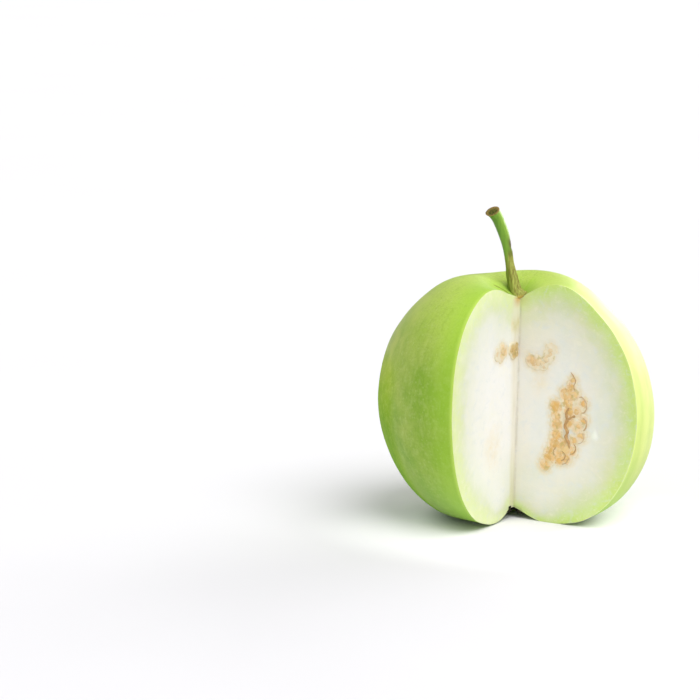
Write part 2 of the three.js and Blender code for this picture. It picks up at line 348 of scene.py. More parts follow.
class Shader:
    """A node material. Its colour is laid on in layers, each over those before."""

    def __init__(self, name):
        self.material = bpy.data.materials.new(name)
        self.material.use_nodes = True
        self.tree = self.material.node_tree
        self.tree.nodes.clear()
        output = self.tree.nodes.new("ShaderNodeOutputMaterial")
        self.surface = self.tree.nodes.new("ShaderNodeBsdfPrincipled")
        self.link(self.surface.outputs[0], output.inputs[0])
        self.place = self.node("TexCoord", "Object", {})
        self.colour = WHITE

    def link(self, source, target):
        if isinstance(source, (int, float, tuple)):
            target.default_value = source
        elif source:
            self.tree.links.new(source, target)

    def node(self, kind, output, inputs, **settings):
        """Adds a node, feeds its inputs, and gives one of its outputs."""
        node = self.tree.nodes.new("ShaderNode" + kind)
        for name, value in settings.items():
            setattr(node, name, value)
        for socket, source in inputs.items():
            self.link(source, node.inputs[socket])
        return node.outputs[output]

    def read(self, name):
        return self.node("Attribute", "Fac", {}, attribute_name=name)

    def noise(self, size_mm, detail=3.0, roughness=0.6, place=None, distortion=0.0):
        return self.node("TexNoise", "Fac", {
            "Vector": place or self.place, "Scale": 1 / (size_mm * MM), "Detail": detail,
            "Roughness": roughness, "Distortion": distortion,
        })

    def stretched(self, z):
        return self.node("Mapping", 0, {"Vector": self.place, "Scale": (1, 1, z)})

    def vector(self, x, y, z):
        return self.node("CombineXYZ", 0, {0: x, 1: y, 2: z})

    def math(self, operation, a, b=0.0):
        return self.node("Math", 0, {0: a, 1: b}, operation=operation)

    def times(self, a, b):
        return self.math("MULTIPLY", a, b)

    def spread(self, value, low, high, to_low=0.0, to_high=1.0):
        """Turns low and high into to_low and to_high, with a soft rise or fall between."""
        numbers = {0: value, 1: low, 2: high, 3: to_low, 4: to_high}
        return self.node("MapRange", 0, numbers, interpolation_type="SMOOTHSTEP")

    def mix(self, amount, a, b, blend="MIX"):
        """Mixes two colours. One given as red, green and blue is as seen on screen, 0 to 255."""
        inputs = {0: amount, 6: linear(a), 7: linear(b)}
        return self.node("Mix", 2, inputs, data_type="RGBA", blend_type=blend)

    def lay(self, amount, colour, blend="MIX"):
        """Lays a colour over the colour so far."""
        self.colour = self.mix(amount, self.colour, colour, blend)

    def over(self, value, low, high, amount, colour):
        """Lays a colour on as the value goes from low to high, up to the amount."""
        self.lay(self.spread(value, low, high, 0.0, amount), colour)

    def tint(self, amount, red, green, blue):
        """Multiplies the colour so far by three shares."""
        self.lay(amount, (red, green, blue, 1.0), "MULTIPLY")

    def ramp(self, value, stops):
        node = self.tree.nodes.new("ShaderNodeValToRGB")
        elements = node.color_ramp.elements
        while len(elements) < len(stops):
            elements.new(0.5)
        for element, (position, colour) in zip(elements, stops):
            element.position = position
            element.color = linear(colour)
        self.link(value, node.inputs[0])
        return node.outputs[0]

    def bump(self, height, distance_mm, strength, normal=None):
        return self.node("Bump", 0, {
            "Height": height, "Distance": distance_mm * MM, "Strength": strength, "Normal": normal,
        })

    def finish(self, roughness, normal=None, subsurface=0.0, radius_mm=(1, 1, 1), coat=0.0,
               coat_roughness=0.2, specular=0.5):
        """Sets the surface and gives the finished material."""
        for name, value in {
            "Base Color": self.colour, "Roughness": roughness, "Specular IOR Level": specular,
            "Normal": normal, "Coat Weight": coat, "Coat Roughness": coat_roughness,
            "Subsurface Weight": subsurface, "Subsurface Scale": MM, "Subsurface Radius": radius_mm,
        }.items():
            self.link(value, self.surface.inputs[name])
        return self.material


def skin_material():
    s = Shader("guava_skin")
    turn = s.times(s.read("turn_mm"), MM)
    down = s.read("down_mm")
    height = s.read("height_mm")
    # Streaks and specks run down the fruit, over cloudy patches
    streak_place = s.vector(turn, s.times(down, 0.22 * MM), 0.0)
    grain_place = s.vector(turn, s.times(down, 0.35 * MM), 0.0)
    streaks = s.noise(7.0, 4.0, 0.55, streak_place)
    lines = s.noise(1.6, 4.0, 0.65, grain_place)
    patches = s.noise(16.0, 4.0)
    clouds = s.noise(24.0, 3.0, 0.5, distortion=0.5)
    fine = s.noise(2.2)
    grain = s.noise(0.6, 2.0)
    dots = s.node("TexVoronoi", "Distance", {"Vector": s.place, "Scale": 1 / (1.5 * MM)})
    s.colour = s.mix(s.spread(patches, 0.36, 0.66), (140, 178, 52), (168, 192, 84))
    s.over(streaks, 0.42, 0.72, 0.55, (123, 166, 44))
    s.over(clouds, 0.5, 0.75, 0.45, (174, 184, 98))
    s.over(height, 14, 40, 0.75, (193, 216, 98))
    s.over(fine, 0.45, 0.72, 0.4, (182, 202, 108))
    s.over(lines, 0.5, 0.75, 0.35, (118, 154, 46))
    s.over(lines, 0.48, 0.25, 0.3, (190, 208, 116))
    s.over(dots, 0.32, 0.1, 0.18, (205, 220, 140))
    s.over(grain, 0.45, 0.7, 0.25, (116, 150, 48))
    # Brighter green towards the cut, and a pale right side: partly the skin's paler colour, partly painted
    # sheen from the light on the right
    edge = s.read("to_cut_mm")
    s.over(edge, 14.0, 0.5, 0.6, (160, 208, 52))
    s.over(edge, 1.6, 0.1, 0.6, (206, 232, 110))
    pale_sheen_streaks = s.spread(s.noise(5.0, 3.0, 0.55, streak_place), 0.35, 0.65, 0.78, 1.0)
    s.lay(s.times(s.read("pale_and_sheen_side"), pale_sheen_streaks), (224, 234, 140))
    # The two pits and the underside
    pit = s.read("pit_mm")
    s.over(pit, 8.0, 1.0, 0.6, (112, 152, 44))
    s.over(s.read("blossom_mm"), 8.0, 3.0, 0.75, (96, 104, 48))
    s.over(height, -10, -38, 0.45, (138, 176, 84))
    # The far left of the view, painted as it is lit: painted light at mid height with less blue, lighter
    # yellow-green painted light above, and painted shade below
    limb = s.spread(s.read("left_limb_painted_light"), 0.0, 1.0)
    s.tint(limb, 1.19, 1.17, 0.8)
    limb_light_break = s.spread(s.noise(8.0, 4.0), 0.35, 0.65, 0.25, 1.0)
    s.lay(s.times(s.read("limb_top_painted_light"), limb_light_break), (206, 214, 120))
    s.tint(s.read("limb_low_painted_shade"), 0.56, 0.74, 0.48)
    # The crease painted dark: its brown colour and painted shade in it
    s.over(s.read("crease"), 0.15, 0.9, 0.85, (112, 112, 44))
    roughness = s.spread(patches, 0.3, 0.7, 0.38, 0.5)
    roughness = s.math("MAXIMUM", roughness, s.spread(pit, 7.0, 22.0, 0.85, 0.0))
    roughness = s.math("MAXIMUM", roughness, s.times(limb, 0.85))
    relief = s.math("ADD", s.times(grain, 0.6), s.spread(dots, 0.05, 0.35, 0.0, 1.0))
    normal = s.bump(relief, 0.035, 0.5)
    normal = s.bump(s.noise(6.0, 2.0, 0.5), 0.25, 0.35, normal)
    return s.finish(roughness, normal, subsurface=0.12, radius_mm=(1.2, 1.6, 0.5), specular=0.22)


def flesh_material():
    s = Shader("guava_flesh")
    # Green under the skin, white further in
    under = s.read("under_mm")
    wander = s.spread(s.noise(5.0), 0.25, 0.75, -1.2, 1.2)
    wobble = s.times(wander, s.spread(under, 0.4, 4.0))
    s.colour = s.ramp(s.math("DIVIDE", s.math("ADD", under, wobble), FLESH_DEPTH), [
        (0.0, (200, 226, 116)), (0.02, (214, 233, 140)), (0.1, (221, 237, 164)),
        (0.18, (226, 237, 178)), (0.3, (232, 238, 202)), (0.42, (241, 243, 225)),
        (0.65, (248, 248, 239)), (1.0, (253, 252, 248)),
    ])
    s.over(s.noise(9.0, 4.0), 0.42, 0.72, 0.35, (243, 243, 235))
    # The right face is warmer by the core and greener at its rim, and the left one paler at its rim
    right_side = s.read("right_face")
    left_side = s.math("SUBTRACT", 1.0, right_side)
    warm = s.mix(s.spread(s.noise(14.0), 0.35, 0.65), (248, 244, 235), (240, 242, 237))
    s.lay(s.times(right_side, 0.75), warm, "MULTIPLY")
    s.lay(s.times(right_side, s.spread(s.read("core_mm"), 0.5, 10.0, 0.35, 0.0)), (252, 247, 230))
    s.lay(s.times(right_side, s.spread(under, 0.4, 6.5, 0.45, 0.0)), (208, 240, 108))
    s.lay(s.times(left_side, s.spread(under, 0.3, 8.0, 0.5, 0.0)), (246, 251, 200))
    mottle = s.noise(2.6, 4.0, 0.65, distortion=0.6)
    s.over(mottle, 0.5, 0.75, 0.4, (226, 233, 234))
    s.over(mottle, 0.47, 0.25, 0.35, (252, 249, 228))
    # The core strip, and the seam beside it, with a dark line painted along the seam: partly juice, partly
    # painted shade in the corner of the cut
    strip = s.read("strip")
    s.lay(s.times(strip, 0.7), (240, 234, 212))
    strip_streaks = s.spread(s.noise(1.4, place=s.stretched(0.12)), 0.45, 0.75, 0.0, 0.3)
    s.lay(s.times(strip, strip_streaks), (222, 208, 172))
    s.lay(s.times(strip, s.spread(s.read("height_mm"), -36.0, -12.0, 0.75, 0.0)), (218, 218, 170))
    # Dark line along the seam: juice and painted shade in the corner where the cut faces meet
    seam_break = s.spread(s.noise(3.0), 0.3, 0.6, 0.08, 0.3)
    s.lay(s.times(s.spread(s.read("seam_mm"), 0.1, 1.0, 1.0, 0.0), seam_break), (196, 182, 148))
    # Stains, the juice round the seeds, the flake with its pale colour and a painted highlight, and the
    # root of the stalk
    stain_break = s.spread(s.noise(2.5), 0.3, 0.7, 0.4, 1.0)
    stain_colour = s.mix(strip, (242, 224, 180), (218, 210, 148))
    s.lay(s.times(s.read("stain"), stain_break), stain_colour)
    halo_break = s.spread(s.noise(1.6, 4.0, 0.65), 0.35, 0.6, 0.25, 1.0)
    s.lay(s.times(s.read("seed_halo"), halo_break), (241, 222, 176))
    # The flake painted nearly white: its pale colour and a painted highlight
    s.lay(s.read("flake"), (250, 253, 238))
    s.tint(1.0, 0.9, 0.905, 0.915)
    s.lay(s.times(s.read("stalk_root"), 0.8), (206, 168, 92))
    grain = s.noise(0.5, 3.0, 0.65)
    coarse = s.noise(2.2)
    s.over(grain, 0.45, 0.75, 0.1, (232, 231, 218))
    normal = s.bump(s.math("ADD", s.times(grain, 0.35), coarse), 0.2, 0.55)
    roughness = s.spread(coarse, 0.35, 0.65, 0.38, 0.55)
    return s.finish(roughness, normal, subsurface=0.25, radius_mm=(2.4, 2.2, 1.4), coat=0.12,
                    coat_roughness=0.25, specular=0.4)


def seed_material():
    s = Shader("guava_seeds")
    s.colour = s.ramp(s.read("tone"), [
        (0.0, (216, 180, 110)), (0.3, (238, 192, 114)), (0.6, (252, 202, 124)),
        (1.0, (250, 230, 180)),
    ])
    fine = s.noise(0.8, 4.0, 0.65)
    s.over(fine, 0.5, 0.75, 0.35, (204, 152, 86))
    s.over(s.noise(1.8), 0.45, 0.72, 0.65, (248, 226, 190))
    brown = s.read("brown")
    s.over(brown, 0.0, 1.0, 1.0, (176, 152, 96))
    s.over(brown, 0.0, -1.0, 1.0, (250, 234, 204))
    s.lay(s.times(s.read("margin"), 0.85), (243, 213, 160))
    olive = s.noise(2.2, distortion=0.5)
    s.over(olive, 0.56, 0.68, 0.5, (206, 190, 118))
    s.tint(1.0, 0.85, 0.82, 0.74)
    return s.finish(0.5, s.bump(fine, 0.12, 0.4), subsurface=0.1, radius_mm=(1.8, 1.2, 0.6), coat=0.05,
                    coat_roughness=0.3)


def pulp_material():
    s = Shader("guava_pulp")
    s.colour = s.mix(s.read("tone"), (240, 232, 212), (240, 202, 140))
    stringy = s.noise(1.5, 4.0, 0.7, distortion=0.8)
    s.over(stringy, 0.5, 0.64, 0.55, (208, 164, 100))
    s.over(s.noise(2.4), 0.5, 0.8, 0.5, (228, 218, 168))
    brown = s.read("brown")
    s.over(brown, 0.0, 1.0, 0.8, (196, 176, 116))
    s.over(brown, 0.0, -1.0, 1.0, (240, 232, 210))
    olive = s.noise(2.2, distortion=0.5)
    s.over(olive, 0.54, 0.66, 0.6, (200, 184, 112))
    # The bed's edge takes the colour of the stained flesh round it, along a broken line
    halo_break = s.spread(s.noise(1.6, 4.0, 0.65), 0.35, 0.6, 0.2, 0.8)
    outer = s.mix(halo_break, (234, 236, 228), (235, 219, 178))
    outer = s.mix(s.spread(brown, 0.3, 0.9), outer, (226, 214, 178))
    edge = s.read("margin")
    edge_break = s.spread(s.noise(1.2), 0.3, 0.7, -0.3, 0.3)
    margin = s.spread(s.math("ADD", edge, edge_break), 0.1, 0.9)
    s.lay(s.math("MAXIMUM", margin, s.spread(edge, 0.8, 1.0)), outer)
    s.tint(1.0, 0.94, 0.91, 0.86)
    normal = s.bump(s.noise(0.7, 3.0, 0.65), 0.16, 0.4)
    return s.finish(0.5, normal, subsurface=0.1, radius_mm=(2.0, 1.6, 1.0), coat=0.05, coat_roughness=0.3)


def fibre_material():
    s = Shader("guava_fibres")
    s.colour = s.mix(s.read("tone"), (182, 142, 88), (206, 176, 140))
    s.over(s.noise(1.0), 0.45, 0.7, 0.5, (222, 188, 136))
    normal = s.bump(s.noise(0.4), 0.08, 0.6)
    return s.finish(0.5, normal, subsurface=0.2, radius_mm=(1.0, 0.7, 0.4))


def stalk_material():
    s = Shader("guava_stalk")
    peeled = s.read("peeled")
    side = s.read("side")
    cut = s.read("cut_end")
    along = s.stretched(0.1)
    fibres = s.noise(0.45, 4.0, 0.65, along)
    # Green, with painted light on the right side and painted shade on the left, and brown where it is
    # peeled
    patches = s.noise(3.0, place=along)
    s.colour = s.mix(s.spread(patches, 0.35, 0.7), (96, 142, 40), (132, 172, 62))
    # Painted highlight on the right side, painted shade on the left
    s.over(side, 0.1, 1.0, 0.5, (176, 208, 108))
    s.over(side, -0.3, -1.0, 0.45, (84, 122, 34))
    brown = s.mix(s.spread(fibres, 0.3, 0.68), (124, 108, 50), (192, 196, 112))
    # The peeled part turns olive on the left: partly its colour, partly painted shade
    brown = s.mix(s.spread(side, -0.95, 0.15, 0.7, 0.0), brown, (122, 142, 46))
    s.lay(peeled, brown)
    s.over(s.noise(1.0), 0.55, 0.75, 0.3, (112, 118, 40))
    s.lay(s.read("scar"), (92, 78, 54))
    s.lay(s.read("knot"), (104, 100, 34))
    # The cut end with its rim, and the foot
    wood = s.mix(s.spread(s.noise(0.8), 0.35, 0.7), (58, 64, 16), (112, 108, 46))
    s.lay(cut, wood)
    rim_break = s.spread(s.noise(0.7), 0.3, 0.6, 0.35, 1.0)
    s.lay(s.times(s.read("cut_rim"), rim_break), (172, 138, 92))
    foot_side = s.spread(s.math("ABSOLUTE", s.math("SUBTRACT", side, 0.1)), 0.35, 0.8)
    foot = s.mix(foot_side, (222, 182, 104), (96, 84, 34))
    s.over(s.read("height_mm"), 36.2, 34.9, 0.85, foot)
    s.tint(1.0, 0.87, 0.91, 0.64)
    normal = s.bump(fibres, 0.08, 0.5)
    normal = s.bump(s.noise(1.4), 0.12, 0.5, normal)
    roughness = s.math("MAXIMUM", s.spread(peeled, 0.0, 1.0, 0.42, 0.7), s.times(cut, 0.95))
    return s.finish(roughness, normal, specular=0.35)


def calyx_material():
    s = Shader("guava_calyx")
    dry = s.noise(0.6, 4.0, 0.7, s.stretched(0.4))
    s.colour = s.mix(s.spread(dry, 0.35, 0.7), (22, 20, 11), (50, 45, 26))
    return s.finish(0.85, s.bump(dry, 0.2, 0.8), specular=0.25)


lobe_turn, lobe_tilt, lobe_spread = np.radians([row[:3] for row in LOBES]).T
lobe_swell = np.array([row[3] for row in LOBES])
lobe_towards = np.stack(
    [np.sin(lobe_tilt) * np.cos(lobe_turn), np.sin(lobe_tilt) * np.sin(lobe_turn), np.cos(lobe_tilt)], 1
)


def skin_points(outline, turns):
    """Points of the skin: one for each outline point, turned by its own azimuth."""
    flat = np.stack([outline[:, 0] * np.cos(turns), outline[:, 0] * np.sin(turns), outline[:, 1]], 1)
    along = flat / np.linalg.norm(flat, axis=1, keepdims=True)
    angles = np.arccos(np.clip(along @ lobe_towards.T, -1, 1))
    swell = np.exp(-(angles**2) / (2 * lobe_spread**2)) @ lobe_swell
    return flat + along * (swell - INSIDE_CAD)[:, None]


def strip_reach(heights, side):
    """How far the core strip reaches at each height, along the left face (0) or the right one (1)."""
    middle = (STRIP_TOP[side] + STRIP_BOTTOM[side]) / 2
    return middle + (STRIP_TOP[side] - STRIP_BOTTOM[side]) * heights / (2 * STRIP_HALF_HEIGHT)


def on_right_face(points):
    """Distance from the core and height, as the right face shows them."""
    return points[:, [0, 2]]


def on_left_face(points):
    return np.stack([-points[:, 1], points[:, 2]], 1)


def off_face(face, body):
    """Points given on a face, with their rise off it, in the fruit's own frame."""
    x, y, z = body.T
    if face == "right":
        return np.stack([x, -z, y], 1)
    return np.stack([LEFT_FACE_X + z, -x, y], 1)


def distance_to_line(points, line):
    """Shortest distance from each flat point to a line of flat points."""
    out = np.empty(len(points))
    block = 4000
    for start in range(0, len(points), block):
        part = points[start:start + block]
        out[start:start + block] = np.linalg.norm(part[:, None, :] - line[None], axis=2).min(1)
    return out


def gap_to_seeds(across, up, places):
    """How far each spot of a face is from the nearest seed, below 0 on a seed."""
    gaps = [np.hypot(across - x, up - y) - half for x, y, half in places]
    return np.minimum.reduce(gaps)


def near_seeds(flat, places, margin, softness):
    """1 on the seeds of a face, falling to 0 past the margin."""
    return np.clip((margin + softness - gap_to_seeds(*flat.T, places)) / softness, 0, 1)


def fruit_grid():
    """The fruit's points before their relief, its outline, and the rims of both cut faces."""
    outline = evenly(smooth_line(PROFILE, 12), RINGS)
    outline[0, 0] = outline[-1, 0] = 1e-3
    right_rim = skin_points(outline, np.zeros(RINGS))
    reach = -skin_points(outline, np.full(RINGS, LEFT_FACE_TURN))[:, 1]
    left_x = -np.minimum(-LEFT_FACE_X, 0.5 * reach)
    last_turn = LEFT_FACE_TURN - np.arcsin(-left_x / reach)
    left_rim = skin_points(outline, last_turn)
    left_rim[:, 0] = left_x

    seam_height = SEAM_MIDDLE + SEAM_REACH * np.cos(np.arctan2(outline[:, 0], outline[:, 1]))
    strip_right = np.minimum(strip_reach(seam_height, 1), 0.4 * right_rim[:, 0])
    strip_left = np.minimum(strip_reach(seam_height, 0), -0.96 * left_rim[:, 1])
    inner_right = np.stack([strip_right, np.zeros(RINGS), seam_height], 1)
    inner_left = np.stack([left_x, -strip_left, seam_height], 1)
    blend = np.clip(1 - strip_reach(seam_height, 0) / -left_rim[:, 1], 0, 1)
    inner_left[:, 2] = seam_height * blend + (0.5 * left_rim[:, 2] + 0.5 * seam_height) * (1 - blend)

    columns = between(inner_right, right_rim, RIGHT_COLUMNS)
    columns += [skin_points(outline, last_turn * j / SKIN_COLUMNS) for j in range(SKIN_COLUMNS)]
    columns += between(left_rim, inner_left, LEFT_COLUMNS)
    columns += between(inner_left, inner_right, STRIP_COLUMNS)
    return np.stack(columns, 1).reshape(-1, 3), outline, right_rim, left_rim


def cut_marks(points, right_rim, left_rim):
    """What the flesh's material reads at each point of the cut, and how deep the pockets are there."""
    flat_right = on_right_face(points)
    flat_left = on_left_face(points)
    under, pocket, halo = np.zeros((3, len(points)))
    for mask, flat, rim, places in (
        (ON_RIGHT, flat_right, on_right_face(right_rim), MAIN_SEEDS + UPPER_SEEDS),
        (LEFT_AND_STRIP, flat_left, on_left_face(left_rim), LEFT_SEEDS + CORE_SEEDS),
    ):
        under[mask] = distance_to_line(flat[mask], rim)
        pocket[mask] = near_seeds(flat[mask], places, 0.0, 0.6)
        halo[mask] = near_seeds(flat[mask], places, 0.4, 2.2)
    height = points[:, 2]
    core_gap = np.where(ON_RIGHT, flat_right[:, 0], flat_left[:, 0])
    under *= 1 + 1.4 * smooth_step(-height, 22, 35) * smooth_step(core_gap, 20, 9)
    halo *= 1 - 0.45 * smooth_step(height, 11, 13.5)

    across, up = (flat_right - FLAKE_MIDDLE).T
    flake = np.clip(1.6 - np.hypot(across / 1.2, up / 1.7), 0, 1) * ON_RIGHT
    flake *= np.clip(1.4 - np.abs(across) - 0.5 * up, 0, 1)

    stain_left = bell(flat_left, *STAIN_LEFT).prod(1) * ON_LEFT
    stain_right = bell(flat_right, *STAIN_RIGHT).prod(1) * ON_RIGHT
    stain_strip = bell(height, *STAIN_STRIP) * ON_STRIP
    marks = {
        "under_mm": under,
        "seed_halo": halo,
        "flake": flake,
        "stain": 0.55 * stain_left + 0.5 * stain_right + 0.9 * stain_strip,
        "strip": np.clip((column - STRIP_START + 0.5) / 3.5, 0, 1) * ON_STRIP,
        "right_face": ON_RIGHT.astype(float),
    }
    return marks, smooth_step(pocket, 0, 1)


def crease_mark(points):
    """1 along the crease of the skin, falling to 0 beside it."""
    line = evenly(smooth_line(CREASE, 8), 60)
    beside = distance_to_line(points[:, :2], line)
    return bell(beside, 0, CREASE_WIDTH) * ON_SKIN * (points[:, 2] > CREASE_LOWEST)


def add_relief(points, marks, pocket):
    """Sinks the pockets and the crease, raises the flake, and lays shallow waves over cut and skin."""
    points[ON_RIGHT, 1] += POCKET_DEPTH * pocket[ON_RIGHT]
    points[LEFT_AND_STRIP, 0] -= POCKET_DEPTH * pocket[LEFT_AND_STRIP]
    points[:, 1] -= FLAKE_RISE * marks["flake"]
    points[:, 2] -= CREASE_DEPTH * marks["crease"]
    for i in np.flatnonzero((ON_RIGHT | ON_LEFT) & (marks["under_mm"] > 0.3)):
        wave = noise.noise(Vector(points[i] / 7.0)) * 0.12 + noise.noise(Vector(points[i] / 2.0)) * 0.03
        if ON_RIGHT[i]:
            points[i, 1] += wave
        else:
            points[i, 0] -= wave
    for i in np.flatnonzero((column > SKIN_START) & (column < SKIN_END)):
        along = points[i] / np.linalg.norm(points[i])
        points[i] += along * (noise.noise(Vector(points[i] / 11.0)) * 0.16 - 0.1)


def place_marks(points, outline):
    """What the materials read from where each finished point lies."""
    x, y, z = points.T
    axis_distance = np.hypot(x, y)
    round_skin = np.arctan2(y, x)
    turn = np.degrees(round_skin)
    full_turn = np.mod(turn, 360)
    length = np.linalg.norm(np.diff(outline, axis=0), axis=1).sum()
    to_left_face = np.where(y > 0, NO_CUT_NEAR, np.abs(x - LEFT_FACE_X))
    root = np.clip(1 - (34.5 - z) / 2.6, 0, 1) * np.clip(1.9 - axis_distance / 2.2, 0, 1) * ~ON_SKIN
    # The right side painted pale: partly paler skin, partly painted sheen, less of it near the top
    pale = np.clip(1 - np.abs(turn - 12) / 75, 0, 1) ** 0.8 * np.clip((z + 42) / 30, 0, 1)
    pale *= 1 - 0.45 * smooth_step(z, 29, 38)
    # The skin's far left edge as the camera sees it, where light and shade are painted
    limb = smooth_step(full_turn, 246, 224) * smooth_step(full_turn, 165, 195) * ON_SKIN
    return {
        "height_mm": z,
        "turn_mm": np.mod(round_skin, 2 * math.pi) * SKIN_RADIUS,
        "down_mm": np.repeat(np.linspace(0, length, RINGS), WIDE),
        "to_cut_mm": np.where(x < 0, to_left_face, np.abs(y)),
        "pit_mm": np.where(z > 0, axis_distance, NOT_HERE),
        "blossom_mm": np.where(z < 0, axis_distance, NOT_HERE),
        "core_mm": np.where(ON_SKIN, NOT_HERE, axis_distance),
        "seam_mm": np.where(ON_SKIN, NOT_HERE, np.hypot(x - 0.15, y)),
        "stalk_root": root * np.where(ON_RIGHT, 0.15, np.where(ON_LEFT, 0.6, 1.0)),
        "pale_and_sheen_side": 0.85 * pale,
        "left_limb_painted_light": limb * smooth_step(z, 26, 8),
        "limb_top_painted_light": 0.5 * limb * smooth_step(z, 6, 24) * smooth_step(z, 41, 32),
        "limb_low_painted_shade": limb * smooth_step(z, 4, -12),
    }


def mark_rim_sharp(piece, columns):
    """Keeps the edges of the cut crisp."""
    ends = np.array([tuple(e.vertices) for e in piece.data.edges]) % WIDE
    sharp = (ends[:, 0] == ends[:, 1]) & np.isin(ends[:, 0], columns)
    layer = piece.data.attributes.new("sharp_edge", "BOOLEAN", "EDGE")
    layer.data.foreach_set("value", sharp)


def fruit_piece():
    """The fruit: skin and flesh as one closed mesh, with the quarter cut out of it."""
    points, outline, right_rim, left_rim = fruit_grid()
    marks, pocket = cut_marks(points, right_rim, left_rim)
    marks["crease"] = crease_mark(points)
    add_relief(points, marks, pocket)
    marks.update(place_marks(points, outline))
    placed = standing(points)
    placed[:, 2] = np.maximum(placed[:, 2], 0.0)

    faces = [(a, d, c, b) for a, b, c, d in tube_faces(RINGS, WIDE)]
    kinds = [0 if SKIN_START <= c < SKIN_END else 1 for c in range(WIDE)] * (RINGS - 1)
    faces.append(tuple(range(WIDE)))
    faces.append(tuple(reversed(range((RINGS - 1) * WIDE, RINGS * WIDE))))
    kinds += [0, 0]
    piece = new_mesh("fruit_body", placed, faces, [skin_material(), flesh_material()], kinds)
    for name, values in marks.items():
        paint(piece, name, values)
    mark_rim_sharp(piece, (SKIN_START, SKIN_END, 0))
    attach(piece, "root")
    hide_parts("fruit")


def seed_shape(draw, half):
    """One seed: a small angular stone shape round zero, with its points and faces."""
    shape = bmesh.new()
    bmesh.ops.create_icosphere(shape, subdivisions=3, radius=1.0)
    shift = Vector((draw.uniform(0, 50), draw.uniform(0, 50), draw.uniform(0, 50)))
    lumpy = []
    for vertex in shape.verts:
        spot = vertex.co.copy()
        lumps = 0.26 * noise.noise(spot * 1.3 + shift) + 0.06 * noise.noise(spot * 4.0 + shift)
        lumpy.append(spot * (1 + lumps))
    faces = [tuple(v.index for v in f.verts) for f in shape.faces]
    shape.free()
    size = Vector((half, half * draw.uniform(0.68, 0.9), half * draw.uniform(0.5, 0.7)))
    spin = Matrix.Rotation(draw.uniform(0, math.pi), 3, "Z")
    turn = spin @ Matrix.Rotation(draw.uniform(-0.35, 0.35), 3, "X")
    return np.array([turn @ Vector((v.x * size.x, v.y * size.y, v.z * size.z)) for v in lumpy]), faces


def pulp_bed(places, rise):
    """A soft lumpy bed under the seeds: a height field closed underneath, with its edge and ripeness."""
    spots = np.array(places, float)[:, :2]
    low = spots.min(0) - BED_ROOM
    nx, ny = np.ceil((spots.max(0) + BED_ROOM - low) / BED_FINENESS).astype(int) + 1
    across = low[0] + BED_FINENESS * np.arange(nx)
    up = low[1] + BED_FINENESS * np.arange(ny)
    xs, ys = np.meshgrid(across, up, indexing="ij")
    gap = gap_to_seeds(xs, ys, places)
    lumps = np.zeros(xs.shape)
    for spot in np.ndindex(xs.shape):
        x, y = xs[spot], ys[spot]
        gap[spot] += 0.3 * noise.noise(Vector((x / 1.6, y / 1.6, 3.0)))
        place = Vector((x, y, 7.0))
        lumps[spot] = 0.22 * noise.noise(place / 1.2) + 0.12 * noise.noise(place / 0.5)
    inside = gap < BED_REACH
    height = rise + BED_RISE + lumps * (1 - smooth_step(gap, 0.2, 0.8)) - 0.8 * smooth_step(gap, 0.85, 1.35)

    cells = inside[:-1, :-1] & inside[1:, :-1] & inside[:-1, 1:] & inside[1:, 1:]
    used = np.zeros(xs.shape, bool)
    for part in (used[:-1, :-1], used[1:, :-1], used[:-1, 1:], used[1:, 1:]):
        part |= cells
    count = int(used.sum())
    number = -np.ones(xs.shape, int)
    number[used] = np.arange(count)
    top = np.stack([xs[used], ys[used], height[used]], 1)
    bottom = top.copy()
    bottom[:, 2] = rise - BED_DEPTH
    faces = []
    rim = {}
    for i, j in zip(*np.nonzero(cells)):
        corners = [number[i, j], number[i + 1, j], number[i + 1, j + 1], number[i, j + 1]]
        faces.append(tuple(corners))
        faces.append(tuple(c + count for c in reversed(corners)))
        for a, b in zip(corners, corners[1:] + corners[:1]):
            if (b, a) in rim:
                del rim[(b, a)]
            else:
                rim[(a, b)] = True
    for a, b in rim:
        faces.append((b, a, a + count, b + count))
    margin = np.tile(smooth_step(gap[used], 0.2, 0.9), 2)
    ripe = np.tile(1 - smooth_step(gap[used], -0.3, 0.8), 2)
    return np.vstack([top, bottom]), faces, margin, ripe


def fibre(points, radius):
    """A thin thread along the points, on the face, closed at its two tips."""
    line = evenly(smooth_line(points, 8), 8 * len(points))
    along = np.gradient(line, axis=0)
    along /= np.linalg.norm(along, axis=1, keepdims=True)
    across = np.stack([-along[:, 1], along[:, 0], np.zeros(len(line))], 1)
    vertices = []
    for i, spot in enumerate(line):
        to_tip = min(i, len(line) - 1 - i)
        thick = radius * min(1.0, 0.25 + 0.2 * to_tip) * (1 + 0.5 * noise.noise(Vector(spot) * 0.9))
        for j in range(THREAD_SIDES):
            turn = 2 * math.pi * j / THREAD_SIDES
            vertices.append(spot + across[i] * thick * math.cos(turn) + UP * thick * math.sin(turn))
    return np.array(vertices), closed_tube_faces(len(line), THREAD_SIDES)


def seed_bodies(places, rise, draw):
    """The seeds and the crumbs beside them, each with its points, faces, tone and margin."""
    for x, y, half in places:
        body, faces = seed_shape(draw, half * draw.uniform(1.35, 1.65))
        body = body + np.array([x, y, rise + draw.uniform(0.26, 0.42) - body[:, 2].max()])
        tone = held(0.5 + draw.uniform(-0.3, 0.4))
        yield body, faces, tone, 1 - smooth_step(body[:, 2], rise, rise + 0.3)
        for _ in range(CRUMBS_PER_SEED):
            turn = draw.uniform(0, 2 * math.pi)
            crumb, faces = seed_shape(draw, draw.uniform(0.3, 0.6))
            reach = half * draw.uniform(0.9, 1.25)
            crumb = crumb + np.array([x + reach * math.cos(turn), y + reach * math.sin(turn), rise - 0.2])
            yield crumb, faces, draw.uniform(0.1, 1.0), 0.0


